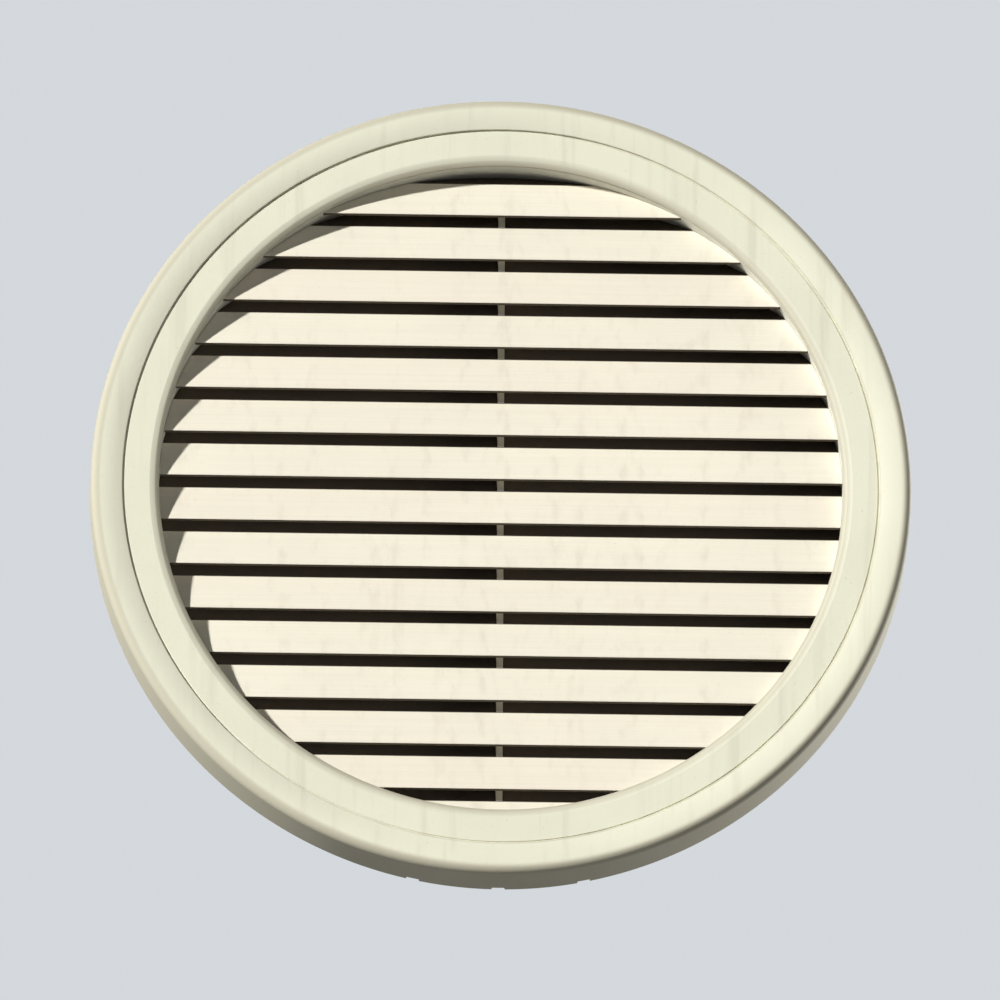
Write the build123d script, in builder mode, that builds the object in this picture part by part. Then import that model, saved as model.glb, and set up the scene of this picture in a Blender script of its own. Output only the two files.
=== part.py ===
# Round gable louver vent, 30 in across, as it hangs on a wall clad with lap siding.
# Millimetres. The wall's sheathing is the plane y = 0, the vent's front faces -Y and +Z is up.
# The origin is the centre of the nailing flange's back face.

import math
import os

from build123d import *

# Main sizes
ring_diameter = 762.0  # outside of the trim ring
siding_depth = 16.0  # sheathing to the siding's face, where the ring's skirt ends
ring_projection = 50.0  # how far the ring stands in front of the siding
collar_tail = 24.0  # how far the collar reaches behind the sheathing
wall = 3.0  # moulded wall of the ring and the collar
fit_gap = 0.25  # gap between pieces that slide into one another

# Front of the trim ring, from its outer edge inwards to the throat
nose_radius = 7.0
bead_width = 22.0  # crest of the bead to the groove
bead_depth = 3.0
groove_wall = 1.5  # height of the groove's wall under the bead
groove_width = 2.0
band_step = 0.8  # the flat band stands this far in front of the groove's bottom
step_draft = 0.3
step_edge_radius = 0.3
band_width = 23.2
band_edge_radius = 1.5
bevel_width = 9.0
bevel_depth = 3.0
sleeve_length = 21.0  # sleeve that slides over the collar
weep_width = 12.0
weep_height = 5.0
weep_count = 3
weep_spacing = 12.0  # degrees between the weep notches at the bottom

# Nailing flange
flange_gap = 4.0  # flange's edge to the inside of the ring's skirt
flange_thickness = 3.0
nail_inset = 16.0  # flange's edge to the middle of the nail holes
nail_hole_radius = 3.0
nail_count = 12
level_notch = 6.0
level_notch_count = 4

# Collar
shoulder_height = 5.5
shoulder_thickness = 3.0
ridge_count = 4
ridge_pitch = 5.0
ridge_width = 3.0
ridge_height = 1.8
ridge_start = 12.0  # sheathing to the first ratchet ridge
ledge_width = 8.0
ledge_thickness = 3.0
ledge_inset = 10.0  # sheathing to the ledge's front, inside the wall
cleat_reach = 9.0
cleat_thickness = 3.0

# Snap clips between the ring and the collar
clip_count = 8
clip_arc = 4.5  # degrees
clip_thickness = 3.0
clip_inset = 11.5  # back of the ring's lip to the clip's root
clip_tail = 5.5  # middle of the tooth to the clip's free end
tooth_reach = 3.0
tooth_tip = 1.0

# Louvers
louver_count = 15
end_margin = 13.0  # throat's edge to the middle of the highest and lowest dark gaps
air_gap = 8.1  # clear height between a blade's bottom edge and the bend of the blade below
face_tilt = 20.0  # degrees off the vertical, the top leaning back
leg_slope = 40.0  # degrees above the horizontal, behind the bend
leg_overlap = 11.9  # how far a leg rises above the bottom edge of the blade in front of it
lip_height = 1.6  # low rain lip at the top of a leg
blade_thickness = 3.0
nose_thickness = 5.5
nose_height = 9.0
nose_edge_radius = 1.2
bend_radius = 1.5
nose_lift = 8.8  # height of a blade's bottom edge above the middle of the dark gap below it
blade_setback = 5.5  # the blades stand this far behind the ring's inner lip

# Mullion behind the louvers
mullion_width = 6.0
mullion_setback = 1.1  # the louvers' bends to the front of the mullion's teeth

# Screen and its retainer
screen_thickness = 1.0
retainer_width = 11.0
retainer_thickness = 4.0
retainer_edge = 0.8
screw_count = 8
screw_radius = 1.75
screw_play = 0.15  # the screw's side to the edge of its clearance hole
screw_head_radius = 3.6
screw_head_height = 2.4
screw_length = 9.0

# Radii and depths that follow. A depth is measured from the sheathing towards the viewer.
ring_radius = ring_diameter / 2
crest_radius = ring_radius - nose_radius
groove_outer = crest_radius - bead_width
groove_inner = groove_outer - groove_width
band_outer = groove_inner - step_draft
band_inner = band_outer - band_width
throat_radius = band_inner - bevel_width
collar_radius = throat_radius + wall
sleeve_inner = collar_radius + fit_gap
sleeve_outer = sleeve_inner + wall
fill_radius = throat_radius - fit_gap
screen_radius = fill_radius - fit_gap
flange_radius = ring_radius - wall - flange_gap
crest = siding_depth + ring_projection
bead_foot = crest - bead_depth
groove = bead_foot - groove_wall
band_front = groove + band_step
lip_front = band_front - bevel_depth
lip_back = lip_front - wall
blade_front = lip_front - blade_setback
screen_front = -(ledge_inset + ledge_thickness)
retainer_front = screen_front - screen_thickness
retainer_back = retainer_front - retainer_thickness
screw_circle_radius = throat_radius - ledge_width / 2
screw_hole_radius = screw_radius + screw_play

# Heights and depths of a louver's section
pitch = 2 * (throat_radius - end_margin) / (louver_count - 1)
face_rise = pitch - air_gap
leg_rise = air_gap + leg_overlap
face_run = face_rise * math.tan(math.radians(face_tilt))
leg_run = leg_rise / math.tan(math.radians(leg_slope))


def wall_plane(depth):
    """The plane parallel to the wall that lies this far in front of the sheathing."""
    return Plane.XZ.offset(depth)


def at(radius, depth):
    """A point of a turned section, which has its radius along X and is revolved about Y."""
    return (radius, -depth)


# Trim ring: a hollow moulding with a skirt outside, a raised bead, a narrow groove, a flat band and a bevel
# down to the louvers, and a sleeve that slides over the collar.
bead_radius = (bead_width**2 + bead_depth**2) / (2 * bead_depth)
bead_centre = crest - bead_radius
bead_middle = crest_radius - bead_width / 2
bevel_slope = bevel_depth / bevel_width
bevel_wall = wall * math.hypot(1, bevel_slope)
half_turn = math.sqrt(0.5)


def bead_point(arc_radius, radius):
    """The point at this radius on an arc about the bead's centre."""
    return at(radius, bead_centre + math.sqrt(arc_radius**2 - (crest_radius - radius) ** 2))


def nose_arc(arc_radius):
    """A quarter circle about the nose's centre, from the skirt to the bead's crest."""
    centre_depth = crest - nose_radius
    return ThreePointArc(
        at(crest_radius + arc_radius, centre_depth),
        at(crest_radius + arc_radius * half_turn, centre_depth + arc_radius * half_turn),
        at(crest_radius, centre_depth + arc_radius),
    )


def inside_bevel(radius):
    """The point at this radius on the bevel's inner side."""
    return at(radius, lip_front - bevel_wall + (radius - throat_radius) * bevel_slope)


inner_bead_end = bead_point(bead_radius - wall, groove_outer + wall)
band_corner_radius = throat_radius + (band_front - wall - lip_front + bevel_wall) / bevel_slope

with BuildPart() as trim_ring:
    with BuildSketch(Plane.XY) as section:
        with BuildLine():
            Line(at(ring_radius, siding_depth), at(ring_radius, crest - nose_radius))
            nose_arc(nose_radius)
            ThreePointArc(
                at(crest_radius, crest),
                bead_point(bead_radius, bead_middle),
                at(groove_outer, bead_foot),
            )
            Polyline(
                at(groove_outer, bead_foot),
                at(groove_outer, groove),
                at(groove_inner, groove),
                at(band_outer, band_front),
                at(band_inner, band_front),
                at(throat_radius, lip_front),
                at(throat_radius, lip_back),
                at(sleeve_inner, lip_back),
                at(sleeve_inner, lip_back - sleeve_length),
                at(sleeve_outer, lip_back - sleeve_length),
                inside_bevel(sleeve_outer),
                at(band_corner_radius, band_front - wall),
                at(band_outer - wall, band_front - wall),
                at(groove_inner - wall, groove - wall),
                at(groove_outer, groove - wall),
                inner_bead_end,
            )
            ThreePointArc(
                inner_bead_end,
                bead_point(bead_radius - wall, bead_middle),
                at(crest_radius, crest - wall),
            )
            nose_arc(nose_radius - wall)
            Polyline(
                at(ring_radius - wall, crest - nose_radius),
                at(ring_radius - wall, siding_depth),
                at(ring_radius, siding_depth),
            )
        make_face()
        fillet(section.vertices().sort_by_distance(at(band_inner, band_front))[0], radius=band_edge_radius)
        fillet(section.vertices().sort_by_distance(at(band_outer, band_front))[0], radius=step_edge_radius)
    revolve(axis=Axis.Y)
    with BuildSketch(wall_plane(siding_depth)):
        with PolarLocations(
            ring_radius,
            weep_count,
            start_angle=-90 - weep_spacing * (weep_count - 1) / 2,
            angular_range=weep_spacing * weep_count,
        ):
            Rectangle(4 * wall, weep_width)
    extrude(amount=weep_height, mode=Mode.SUBTRACT)
trim_ring.part.label = "trim_ring"
export_parts = [trim_ring.part]


def blade_points(nose_z):
    """A louver's section in the Y-Z plane, from its bottom front edge up the face and back down behind."""
    tilt = math.radians(face_tilt)
    slope = math.radians(leg_slope)
    face_back = blade_thickness / math.cos(tilt)
    leg_under = blade_thickness / math.cos(slope)
    top_y = face_run + leg_run
    top_z = face_rise + leg_rise
    lip_y = top_y + blade_thickness
    inner_z = face_rise - face_run * math.tan(slope) - leg_under
    bend_y = (inner_z * math.tan(tilt) + face_back) / (1 - math.tan(tilt) * math.tan(slope))
    outline = [
        (0, 0),
        (face_run, face_rise),
        (top_y, top_z),
        (top_y, top_z + lip_height),
        (lip_y, top_z + lip_height),
        (lip_y, top_z - leg_under + blade_thickness * math.tan(slope)),
        (bend_y, inner_z + bend_y * math.tan(slope)),
        (nose_height * math.tan(tilt) + face_back, nose_height),
        (nose_thickness, 0),
    ]
    return [(y - blade_front, z + nose_z) for y, z in outline]


# The dark gaps are spaced evenly about the vent's centre, and the top blade comes first.
highest_nose = throat_radius - end_margin - pitch + nose_lift
nose_heights = [highest_nose - pitch * number for number in range(louver_count)]

# Cleats: short moulded ribs inside the collar that the louvers' ends are welded to, behind each face.
with BuildPart() as cleats:
    for nose_z in nose_heights[:-1]:
        points = blade_points(nose_z)
        bend_back, nose_back = points[-3], points[-2]
        with BuildSketch(Plane.YZ):
            with BuildLine():
                Polyline(
                    (nose_back[0] + fit_gap, nose_back[1]),
                    (bend_back[0] + fit_gap, bend_back[1] - cleat_thickness),
                    (bend_back[0] + fit_gap + cleat_thickness, bend_back[1] - cleat_thickness),
                    (nose_back[0] + fit_gap + cleat_thickness, nose_back[1]),
                    close=True,
                )
            make_face()
        extrude(amount=throat_radius, both=True)
    with BuildSketch(wall_plane(0)):
        Circle(throat_radius + wall / 2)
        Circle(throat_radius - cleat_reach, mode=Mode.SUBTRACT)
    extrude(amount=band_front, mode=Mode.INTERSECT)

# Collar: the drum that the louvers stand in. Outside it has a shoulder for the flange and ratchet ridges
# for the clips, and inside a ledge for the screen.
with BuildPart() as throat_collar:
    with BuildSketch(Plane.XY):
        with BuildLine():
            Polyline(
                at(throat_radius, lip_back),
                at(collar_radius, lip_back),
                at(collar_radius, -collar_tail),
                at(throat_radius, -collar_tail),
                close=True,
            )
        make_face()
        with BuildLine():
            Polyline(
                at(collar_radius, flange_thickness),
                at(collar_radius + shoulder_height, flange_thickness),
                at(collar_radius + shoulder_height, flange_thickness + shoulder_thickness),
                at(collar_radius, flange_thickness + shoulder_thickness),
                close=True,
            )
        make_face()
        with BuildLine():
            Polyline(
                at(throat_radius, -ledge_inset),
                at(throat_radius, screen_front),
                at(throat_radius - ledge_width, screen_front),
                at(throat_radius - ledge_width, -ledge_inset),
                close=True,
            )
        make_face()
        for ridge in range(ridge_count):
            ridge_depth = ridge_start + ridge * ridge_pitch
            with BuildLine():
                Polyline(
                    at(collar_radius, ridge_depth - ridge_width / 2),
                    at(collar_radius + ridge_height, ridge_depth),
                    at(collar_radius, ridge_depth + ridge_width / 2),
                    close=True,
                )
            make_face()
    revolve(axis=Axis.Y)
    with BuildSketch(wall_plane(screen_front)):
        with PolarLocations(screw_circle_radius, screw_count, start_angle=180 / screw_count):
            Circle(screw_hole_radius)
    extrude(amount=ledge_thickness, mode=Mode.SUBTRACT)
    add(cleats.part)
throat_collar.part.label = "throat_collar"
export_parts.append(throat_collar.part)

# Nailing flange: the flat ring that is screwed to the sheathing under the siding.
with BuildPart() as nailing_flange:
    with BuildSketch(wall_plane(0)):
        Circle(flange_radius)
        Circle(collar_radius + fit_gap, mode=Mode.SUBTRACT)
        with PolarLocations(flange_radius - nail_inset, nail_count, start_angle=180 / nail_count):
            Circle(nail_hole_radius, mode=Mode.SUBTRACT)
        with PolarLocations(flange_radius, level_notch_count):
            Rectangle(level_notch, level_notch, rotation=45, mode=Mode.SUBTRACT)
    extrude(amount=flange_thickness)
nailing_flange.part.label = "nailing_flange"
export_parts.append(nailing_flange.part)

# Snap clips: curved tongues on the ring's sleeve whose teeth catch between the collar's ridges.
clip_inner = sleeve_outer + fit_gap
clip_front = lip_back - clip_inset
tooth_depth = ridge_start + ridge_pitch / 2
clip_back = tooth_depth - clip_tail
with BuildPart() as snap_clips:
    for clip in range(clip_count):
        clip_angle = (clip + 1 / 2) * 360 / clip_count
        with BuildSketch(Plane.XY.rotated((0, clip_angle - clip_arc / 2, 0))):
            with BuildLine():
                Polyline(
                    at(clip_inner, clip_front),
                    at(clip_inner + clip_thickness, clip_front),
                    at(clip_inner + clip_thickness, clip_back),
                    at(clip_inner, clip_back),
                    at(clip_inner, tooth_depth - tooth_tip),
                    at(clip_inner - tooth_reach, tooth_depth - tooth_tip / 2),
                    at(clip_inner - tooth_reach, tooth_depth + tooth_tip / 2),
                    at(clip_inner, tooth_depth + tooth_reach),
                    close=True,
                )
            make_face()
        revolve(axis=Axis.Y, revolution_arc=clip_arc)
snap_clips.part.label = "snap_clips"
export_parts.append(snap_clips.part)

# Louvers: each has a thick drip nose at the bottom, a steep face, a bend, and a leg that rises behind the
# louver above and ends in a rain lip.
for number, nose_z in enumerate(nose_heights, start=1):
    points = blade_points(nose_z)
    with BuildPart() as louver:
        with BuildSketch(Plane.YZ) as section:
            with BuildLine():
                Polyline(*points, close=True)
            make_face()
            fillet(section.vertices().sort_by_distance(points[0])[0], radius=nose_edge_radius)
            fillet(section.vertices().sort_by_distance(points[1])[0], radius=bend_radius)
        extrude(amount=throat_radius, both=True)
        with BuildSketch(wall_plane(0)):
            Circle(fill_radius)
        extrude(amount=band_front, mode=Mode.INTERSECT)
    louver.part.label = f"louver_{number:02d}"
    export_parts.append(louver.part)

# Mullion: one notched upright behind the faces, whose teeth hold each louver at mid-span. It stays below
# the leg of the top louver.
mullion_front = face_run + mullion_setback - blade_front
top_bend = nose_heights[0] + face_rise
top_run = (throat_radius - top_bend) / math.tan(math.radians(leg_slope))
with BuildPart() as center_mullion:
    with BuildSketch(Plane.YZ):
        with BuildLine():
            Polyline(
                (mullion_front, -throat_radius),
                (mullion_front, top_bend),
                (mullion_front + top_run, throat_radius),
                (ledge_inset - fit_gap, throat_radius),
                (ledge_inset - fit_gap, -throat_radius),
                close=True,
            )
        make_face()
    extrude(amount=mullion_width / 2, both=True)
    for nose_z in nose_heights:
        with BuildSketch(Plane.YZ):
            with BuildLine():
                Polyline(*blade_points(nose_z), close=True)
            make_face()
            offset(amount=fit_gap, kind=Kind.INTERSECTION)
        extrude(amount=mullion_width, both=True, mode=Mode.SUBTRACT)
    with BuildSketch(wall_plane(-collar_tail)):
        Circle(fill_radius)
    extrude(amount=band_front + collar_tail, mode=Mode.INTERSECT)
center_mullion.part.label = "center_mullion"
export_parts.append(center_mullion.part)

# Insect screen: a thin sheet of woven mesh laid on the collar's ledge.
with BuildPart() as insect_screen:
    with BuildSketch(wall_plane(screen_front)):
        Circle(screen_radius)
        with PolarLocations(screw_circle_radius, screw_count, start_angle=180 / screw_count):
            Circle(screw_hole_radius, mode=Mode.SUBTRACT)
    extrude(amount=-screen_thickness)
insect_screen.part.label = "insect_screen"
export_parts.append(insect_screen.part)

# Screen retainer: the flat ring that clamps the screen.
with BuildPart() as screen_retainer:
    with BuildSketch(wall_plane(retainer_front)):
        Circle(screen_radius)
        Circle(throat_radius - retainer_width, mode=Mode.SUBTRACT)
        with PolarLocations(screw_circle_radius, screw_count, start_angle=180 / screw_count):
            Circle(screw_hole_radius, mode=Mode.SUBTRACT)
    extrude(amount=-retainer_thickness)
    back_edges = screen_retainer.edges().group_by(Axis.Y)[-1]
    chamfer(back_edges.filter_by(lambda edge: edge.radius > screw_head_radius), length=retainer_edge)
screen_retainer.part.label = "screen_retainer"
export_parts.append(screen_retainer.part)

# Retainer screws: round heads behind the retainer, and shanks through the screen into the ledge.
with BuildPart() as retainer_screws:
    with BuildSketch(wall_plane(retainer_back)):
        with PolarLocations(screw_circle_radius, screw_count, start_angle=180 / screw_count):
            Circle(screw_head_radius)
    extrude(amount=-screw_head_height)
    with BuildSketch(wall_plane(retainer_back)):
        with PolarLocations(screw_circle_radius, screw_count, start_angle=180 / screw_count):
            Circle(screw_radius)
    extrude(amount=screw_length)
retainer_screws.part.label = "retainer_screws"
export_parts.append(retainer_screws.part)

os.makedirs("parts", exist_ok=True)
for part in export_parts:
    export_step(part, f"parts/{part.label}.step")
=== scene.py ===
import math
import random

import bpy
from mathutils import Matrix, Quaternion, Vector


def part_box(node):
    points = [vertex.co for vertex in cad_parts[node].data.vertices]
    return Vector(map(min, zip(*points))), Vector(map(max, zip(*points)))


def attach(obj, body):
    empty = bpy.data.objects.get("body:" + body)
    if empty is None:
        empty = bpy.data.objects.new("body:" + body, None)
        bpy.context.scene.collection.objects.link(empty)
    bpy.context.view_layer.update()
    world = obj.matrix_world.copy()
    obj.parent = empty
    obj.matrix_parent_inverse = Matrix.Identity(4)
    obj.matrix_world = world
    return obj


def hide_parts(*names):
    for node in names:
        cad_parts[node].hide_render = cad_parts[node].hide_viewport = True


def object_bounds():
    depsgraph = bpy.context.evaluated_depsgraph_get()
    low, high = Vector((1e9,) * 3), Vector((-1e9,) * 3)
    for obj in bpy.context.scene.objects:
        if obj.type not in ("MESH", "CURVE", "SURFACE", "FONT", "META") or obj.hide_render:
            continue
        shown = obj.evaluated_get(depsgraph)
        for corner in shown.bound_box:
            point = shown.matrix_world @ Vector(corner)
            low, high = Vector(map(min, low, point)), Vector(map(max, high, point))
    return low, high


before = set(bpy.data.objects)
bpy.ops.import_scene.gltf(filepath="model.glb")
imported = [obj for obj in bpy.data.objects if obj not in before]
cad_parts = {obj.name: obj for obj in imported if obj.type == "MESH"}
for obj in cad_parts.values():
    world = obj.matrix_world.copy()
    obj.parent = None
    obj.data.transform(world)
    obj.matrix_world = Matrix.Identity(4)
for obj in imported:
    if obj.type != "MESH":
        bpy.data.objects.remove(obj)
cad_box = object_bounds()

# Trim ring: one hollow injection moulding in cream plastic, with a rounded rim, a raised bead, a narrow
# groove, a flat band and a rounded bevel down to the louvers. It is turned here from one section, its
# corners softened as a mould leaves them, and three weep notches are cut in the skirt at the bottom.
ring_low, ring_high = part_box("trim_ring")
ring_radius = ring_high.x
crest = -ring_low.y
siding = -ring_high.y
wall = 0.003
rim_radius = 0.007
bead_width = 0.022
bead_depth = 0.0023
groove_wall = 0.0022
groove_width = 0.002
band_step = 0.0008
step_draft = 0.0003
band_width = 0.0232
bevel_width = 0.009
bevel_depth = 0.003
bulge_inset = 0.004
bulge_rise = 0.0021
bulge_corner = 0.004
sleeve_length = 0.021
fit_gap = 0.00025
band_corner = 0.0015
mould_corner = 0.0006
fine_corner = 0.0003
hollow_corner = 0.02
corner_share = 0.45
arc_steps = 14
ring_segments = 384
hole_sides = 48
weld_distance = 1e-6
sharp_angle = math.radians(38)
weep_size = (0.012, 0.010, 0.012)
weep_count = 3
weep_spacing = math.radians(12)

crest_radius = ring_radius - rim_radius
groove_outer = crest_radius - bead_width
groove_inner = groove_outer - groove_width
band_outer = groove_inner - step_draft
band_inner = band_outer - band_width
throat_radius = band_inner - bevel_width
groove = crest - bead_depth - groove_wall
band_front = groove + band_step
lip_front = band_front - bevel_depth
lip_back = lip_front - wall
sleeve_inner = throat_radius + wall + fit_gap
sleeve_outer = sleeve_inner + wall
bead_radius = (bead_width**2 + bead_depth**2) / (2 * bead_depth)
bead_centre = (crest_radius, crest - bead_radius)
bevel_slope = bevel_depth / bevel_width
bevel_back = lip_front - wall * math.hypot(1, bevel_slope)


def arc(centre, radius, start, end):
    """Points on an arc between two angles in degrees, each kept as it is when the outline is rounded."""
    turns = [math.radians(start + (end - start) * step / arc_steps) for step in range(arc_steps + 1)]
    return [(centre[0] + radius * math.cos(turn), centre[1] + radius * math.sin(turn), 0) for turn in turns]


def soften(outline, steps=5):
    """Rounds a closed outline. A corner is given as its two places and its radius, where 0 keeps it. Its
    round takes less than half of the edges beside it, so that two of them never meet."""
    rounded = []
    for before, corner, after in zip(outline[-1:] + outline[:-1], outline, outline[1:] + outline[:1]):
        here = Vector(corner[:2])
        back = Vector(before[:2]) - here
        ahead = Vector(after[:2]) - here
        if not corner[2]:
            rounded.append(here)
            continue
        half_turn = (math.pi - back.angle(ahead)) / 2
        most = corner_share * min(back.length, ahead.length)
        reach = min(corner[2] * math.tan(half_turn), most)
        start = here + back.normalized() * reach
        end = here + ahead.normalized() * reach
        for step in range(steps + 1):
            share = step / steps
            rounded.append(start * (1 - share) ** 2 + here * 2 * share * (1 - share) + end * share**2)
    return rounded


def outline_mesh(name, *outlines, closed=True):
    """A mesh of outlines, each wound so that what it sweeps faces outwards. An open one ends on its axis."""
    points, edges = [], []
    for outline in outlines:
        area = sum(a[0] * b[1] - b[0] * a[1] for a, b in zip(outline, outline[1:] + outline[:1]))
        loop = outline if area > 0 else outline[::-1]
        sides = len(loop) if closed else len(loop) - 1
        edges += [(len(points) + n, len(points) + (n + 1) % len(loop)) for n in range(sides)]
        points += [(point[0], point[1], 0) for point in loop]
    mesh = bpy.data.meshes.new(name)
    mesh.from_pydata(points, edges, [])
    return mesh


def node(tree, kind, inputs=None, **settings):
    """A node with its settings, and each input set to a value or joined to a socket."""
    made = tree.nodes.new(kind)
    for name, value in settings.items():
        setattr(made, name, value)
    for socket, value in (inputs or {}).items():
        if isinstance(value, bpy.types.NodeSocket):
            tree.links.new(value, made.inputs[socket])
        else:
            made.inputs[socket].default_value = value
    return made


def sums(tree, operation, *values):
    """The result of one Math node."""
    return node(tree, "ShaderNodeMath", dict(enumerate(values)), operation=operation).outputs[0]


def new_tree(name, **inputs):
    """A Geometry Nodes tree with these named inputs, and the sockets that they arrive on."""
    tree = bpy.data.node_groups.new(name, "GeometryNodeTree")
    tree.interface.new_socket("Geometry", in_out="OUTPUT", socket_type="NodeSocketGeometry")
    tree.interface.new_socket("Geometry", in_out="INPUT", socket_type="NodeSocketGeometry")
    for label, kind in inputs.items():
        tree.interface.new_socket(label, in_out="INPUT", socket_type="NodeSocket" + kind)
    tree.interface.new_socket("Material", in_out="INPUT", socket_type="NodeSocketMaterial")
    return tree, tree.nodes.new("NodeGroupInput").outputs


def end_tree(tree, given, geometry):
    """Ends a tree with real geometry in its material."""
    real = node(tree, "GeometryNodeRealizeInstances", {"Geometry": geometry})
    finish = node(
        tree, "GeometryNodeSetMaterial", {"Geometry": real.outputs[0], "Material": given["Material"]}
    )
    tree.links.new(finish.outputs[0], tree.nodes.new("NodeGroupOutput").inputs[0])
    return tree


def turned_tree():
    """Turns sections of radius and depth about the vent's axis, right round or through a part of it."""
    tree, given = new_tree("turned", Guide="Float", Segments="Int", Full="Bool", Start="Float", Sweep="Float")
    inward = node(tree, "ShaderNodeCombineXYZ", {"X": sums(tree, "MULTIPLY", given["Guide"], -1)})
    section = node(
        tree, "GeometryNodeTransform", {"Geometry": given["Geometry"], "Translation": inward.outputs[0]}
    )
    profile = node(tree, "GeometryNodeMeshToCurve", {"Mesh": section.outputs[0]})
    circle = node(
        tree, "GeometryNodeCurvePrimitiveCircle", {"Resolution": given["Segments"], "Radius": given["Guide"]}
    )
    stretch = node(
        tree,
        "GeometryNodeCurveArc",
        {
            "Resolution": given["Segments"],
            "Radius": given["Guide"],
            "Start Angle": given["Start"],
            "Sweep Angle": given["Sweep"],
        },
    )
    path = node(
        tree,
        "GeometryNodeSwitch",
        {"Switch": given["Full"], "False": stretch.outputs[0], "True": circle.outputs[0]},
        input_type="GEOMETRY",
    )
    upright = node(tree, "GeometryNodeSetCurveNormal", {"Curve": path.outputs[0]}, mode="Z_UP")
    swept = node(
        tree,
        "GeometryNodeCurveToMesh",
        {"Curve": upright.outputs[0], "Profile Curve": profile.outputs[0], "Fill Caps": True},
    )
    joined = node(
        tree, "GeometryNodeMergeByDistance", {"Geometry": swept.outputs[0], "Distance": weld_distance}
    )
    facing = node(
        tree, "GeometryNodeTransform", {"Geometry": joined.outputs[0], "Rotation": (-math.pi / 2, 0, 0)}
    )
    return end_tree(tree, given, facing.outputs[0])


def around(tree, geometry, count, circle, first, step, spin=0.0):
    """Copies of a geometry on a circle about the vent's axis, anticlockwise from the right as seen from the
    front. Each faces the axis, or is turned at random by up to a spin."""
    turn = sums(tree, "MULTIPLY_ADD", node(tree, "GeometryNodeInputIndex").outputs[0], step, first)
    right = sums(tree, "MULTIPLY", circle, sums(tree, "COSINE", turn))
    up = sums(tree, "MULTIPLY", circle, sums(tree, "SINE", turn))
    place = node(tree, "ShaderNodeCombineXYZ", {"X": right, "Z": up})
    points = node(tree, "GeometryNodeMeshLine", {"Count": count, "Offset": (0, 0, 0)})
    points = node(
        tree, "GeometryNodeSetPosition", {"Geometry": points.outputs[0], "Position": place.outputs[0]}
    )
    chance = node(tree, "FunctionNodeRandomValue", {3: spin, "Seed": 5}, data_type="FLOAT").outputs[1]
    rotation = node(tree, "ShaderNodeCombineXYZ", {"Y": sums(tree, "SUBTRACT", chance, turn)})
    placed = node(
        tree,
        "GeometryNodeInstanceOnPoints",
        {"Points": points.outputs[0], "Instance": geometry, "Rotation": rotation.outputs[0]},
    )
    return placed.outputs[0]


def evenly(count, circle=0.0):
    """Places for copies all round a circle, with none straight above, below or beside the axis."""
    return {"Count": count, "Circle": circle, "First": math.pi / count, "Step": 2 * math.pi / count}


def cuts_tree():
    """Cuts a row of holes through a piece, on a circle about the vent's axis. They are square unless their
    number of sides is stated."""
    tree, given = new_tree(
        "cuts", Count="Int", Circle="Float", Depth="Float", First="Float", Step="Float", Size="Vector",
        Sides="Int", Turn="Float",
    )
    size = node(tree, "ShaderNodeSeparateXYZ", {0: given["Size"]}).outputs
    drill = node(
        tree,
        "GeometryNodeMeshCylinder",
        {"Vertices": given["Sides"], "Radius": sums(tree, "MULTIPLY", size["X"], 0.5), "Depth": size["Y"]},
    )
    drill = node(
        tree, "GeometryNodeTransform", {"Geometry": drill.outputs[0], "Rotation": (math.pi / 2, 0, 0)}
    )
    block = node(tree, "GeometryNodeMeshCube", {"Size": given["Size"]})
    turn = node(tree, "ShaderNodeCombineXYZ", {"Y": given["Turn"]})
    block = node(tree, "GeometryNodeTransform", {"Geometry": block.outputs[0], "Rotation": turn.outputs[0]})
    cutter = node(
        tree,
        "GeometryNodeSwitch",
        {"Switch": given["Sides"], "False": block.outputs[0], "True": drill.outputs[0]},
        input_type="GEOMETRY",
    )
    place = node(tree, "ShaderNodeCombineXYZ", {"Y": sums(tree, "MULTIPLY", given["Depth"], -1)})
    cutter = node(
        tree, "GeometryNodeTransform", {"Geometry": cutter.outputs[0], "Translation": place.outputs[0]}
    )
    cutters = around(
        tree, cutter.outputs[0], given["Count"], given["Circle"], given["First"], given["Step"]
    )
    cutters = node(tree, "GeometryNodeRealizeInstances", {"Geometry": cutters})
    cut = node(
        tree,
        "GeometryNodeMeshBoolean",
        {"Mesh 1": given["Geometry"], "Mesh 2": cutters.outputs[0]},
        operation="DIFFERENCE",
        solver="EXACT",
    )
    return end_tree(tree, given, cut.outputs[0])


def grow(name, mesh, material, *steps):
    """Runs a mesh through Geometry Nodes steps of a tree and its values, and keeps the plain result."""
    piece = bpy.data.objects.new(name, mesh)
    bpy.context.scene.collection.objects.link(piece)
    for tree, values in steps:
        modifier = piece.modifiers.new(tree.name, "NODES")
        modifier.node_group = tree
        for item in tree.interface.items_tree:
            if item.name in values:
                modifier[item.identifier] = values[item.name]
            if item.name == "Material":
                modifier[item.identifier] = material
    grown = bpy.data.meshes.new_from_object(piece.evaluated_get(bpy.context.evaluated_depsgraph_get()))
    piece.modifiers.clear()
    piece.data = grown
    grown.name = name
    grown.shade_smooth()
    grown.set_sharp_from_angle(angle=sharp_angle)
    evened = piece.modifiers.new("even shading", "WEIGHTED_NORMAL")
    evened.keep_sharp = True
    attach(piece, "root")
    return piece


def noise(tree, place, scale, detail=4, stretch=(1, 1, 1), roughness=0.55):
    """A noise over the object's own place, stretched along an axis where its scale there is smaller."""
    mapped = node(tree, "ShaderNodeMapping", {"Vector": place, "Scale": stretch})
    made = node(
        tree,
        "ShaderNodeTexNoise",
        {"Vector": mapped.outputs[0], "Scale": scale, "Detail": detail, "Roughness": roughness},
    )
    return made.outputs["Fac"]


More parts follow.
